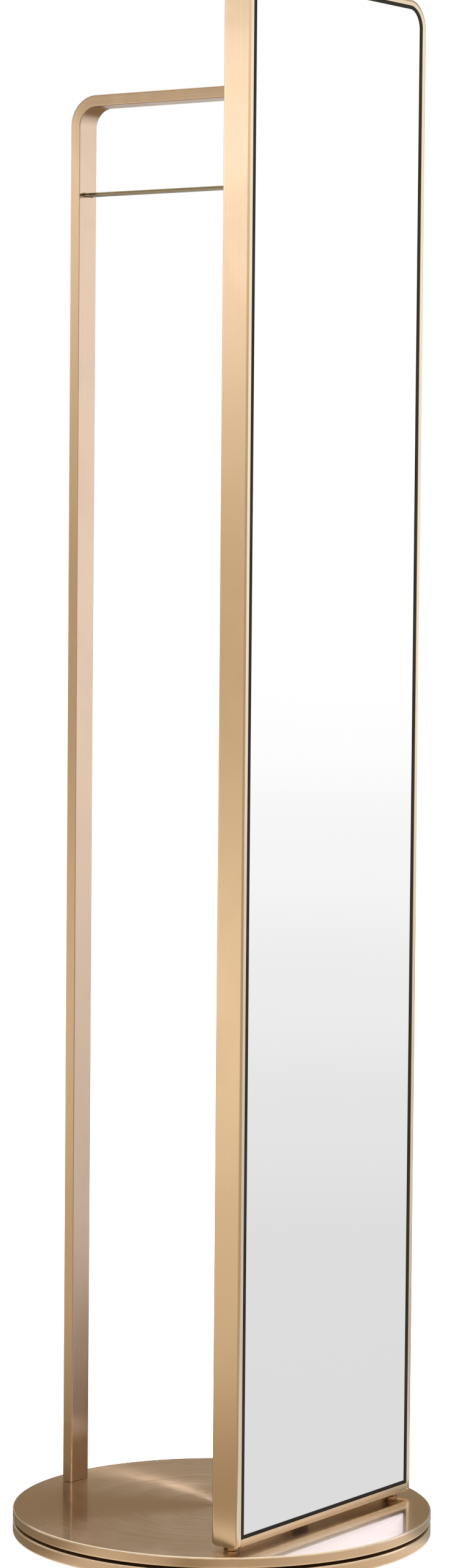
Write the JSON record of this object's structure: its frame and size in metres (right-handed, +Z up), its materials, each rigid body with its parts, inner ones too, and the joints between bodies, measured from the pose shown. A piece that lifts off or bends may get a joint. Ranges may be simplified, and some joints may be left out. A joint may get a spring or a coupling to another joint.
{
  "type": "revolving mirror coat stand",
  "caption": "Revolving coat stand: a tall framed mirror and, square behind it, a bent tube frame with a hanging rail, both on a round turntable over a fixed floor disc.",
  "frame": {"origin": "on the floor, on the axis that the stand turns about, at the middle of the base disc", "axes": "+Z up along the turning axis, the mirror faces -Y, the hanging frame lies in the YZ plane behind it, +X to the right of someone who looks into the mirror"},
  "size_m": [0.5, 0.5, 1.8235],
  "materials": {
    "brass": "polished and finely brushed, clear lacquered",
    "rubber": "matt black pad",
    "alloy": "turned, bare",
    "steel": "zinc plated",
    "fibreboard": "raw medium density fibreboard",
    "seal": "black extruded edge strip",
    "mirror": "silvered float glass"
  },
  "bodies": {
    "fixed_base": {"floor_disc": "brass", "glide_pad_1": "rubber", "glide_pad_2": "rubber", "glide_pad_3": "rubber", "glide_pad_4": "rubber", "glide_pad_5": "rubber", "glide_pad_6": "rubber", "bearing_inner_ring": "alloy", "inner_ring_screw_1": "steel", "inner_ring_screw_2": "steel", "inner_ring_screw_3": "steel", "inner_ring_screw_4": "steel"},
    "ball_ring": {"ball_cage": "steel"},
    "turntable": {"turntable_pan": "brass", "mirror_frame": "brass", "mirror_bottom_rail": "brass", "back_panel": "brass", "mirror_spacer_left": "brass", "mirror_spacer_right": "brass", "hanger_frame": "brass", "hanger_rail": "brass", "bearing_outer_ring": "alloy", "outer_ring_screw_1": "steel", "outer_ring_screw_2": "steel", "outer_ring_screw_3": "steel", "outer_ring_screw_4": "steel", "panel_screw_1": "steel", "panel_screw_2": "steel", "panel_screw_3": "steel", "panel_screw_4": "steel", "panel_screw_5": "steel", "panel_screw_6": "steel", "leg_bolt_front_left": "steel", "leg_bolt_front_right": "steel", "leg_bolt_rear_left": "steel", "leg_bolt_rear_right": "steel", "spacer_bolt_left": "steel", "spacer_bolt_right": "steel", "tie_bolt_lower": "steel", "tie_bolt_middle": "steel", "tie_bolt_upper": "steel", "cross_bar_lower": "steel", "cross_bar_middle": "steel", "cross_bar_upper": "steel", "board_cleat_left": "steel", "board_cleat_right": "steel", "leg_plug_front": "steel", "leg_plug_rear": "steel", "turntable_core": "fibreboard", "backing_board": "fibreboard", "mirror_seal": "seal", "mirror_glass": "mirror"}
  },
  "joints": [
    {"name": "turntable_spin", "type": "hinge", "parent": "fixed_base", "child": "turntable", "pos_m": [0, 0, 0.0195], "axis": [0, 0, 1], "continuous": true},
    {"name": "ball_ring_spin", "type": "hinge", "parent": "fixed_base", "child": "ball_ring", "pos_m": [0, 0, 0.0179], "axis": [0, 0, 1], "continuous": true}
  ],
  "couplings": [
    {"joint": "ball_ring_spin", "follows": "turntable_spin", "ratio": 0.507}
  ]
}
